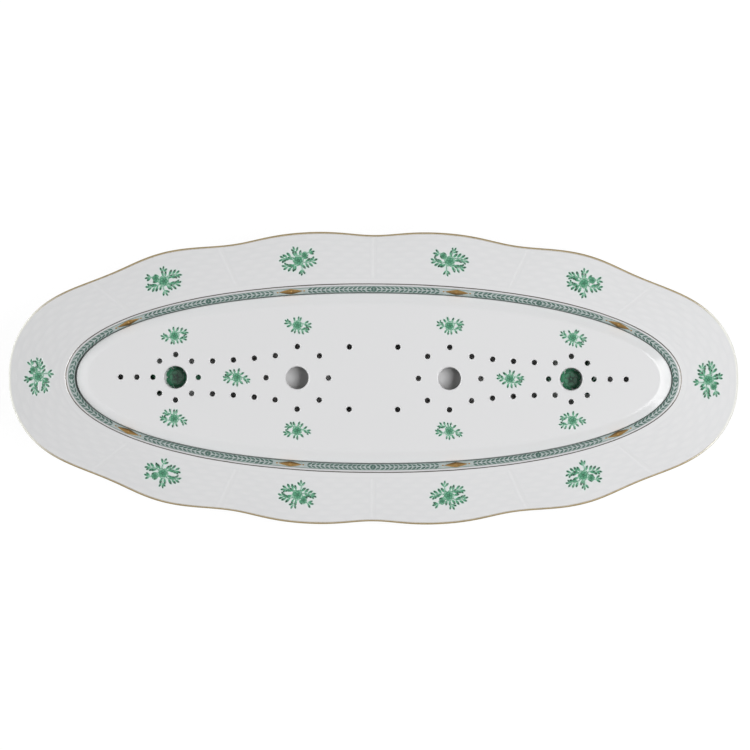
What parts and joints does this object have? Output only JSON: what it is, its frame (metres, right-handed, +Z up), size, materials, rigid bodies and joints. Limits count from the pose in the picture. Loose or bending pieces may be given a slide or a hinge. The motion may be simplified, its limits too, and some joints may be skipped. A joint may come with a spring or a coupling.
{
  "type": "fish platter",
  "caption": "Long oval porcelain fish platter with a scalloped, gilt-edged rim and a lift-out pierced drainer that holds the fish above the well.",
  "frame": {"origin": "on the table under the middle of the platter", "axes": "+X along the platter's length, +Z up"},
  "size_m": [0.65, 0.2604, 0.042],
  "materials": {
    "platter_porcelain": "clear gloss glaze, painted sprigs and leaf band, gilt edge",
    "drainer_porcelain": "clear gloss glaze, painted sprigs"
  },
  "bodies": {
    "platter": {"platter": "platter_porcelain"},
    "drainer": {"drainer": "drainer_porcelain"}
  },
  "joints": [
    {"name": "drainer_lift", "type": "slide", "parent": "platter", "child": "drainer", "axis": [0, 0, 1], "range_m": [0, 0.12]}
  ]
}
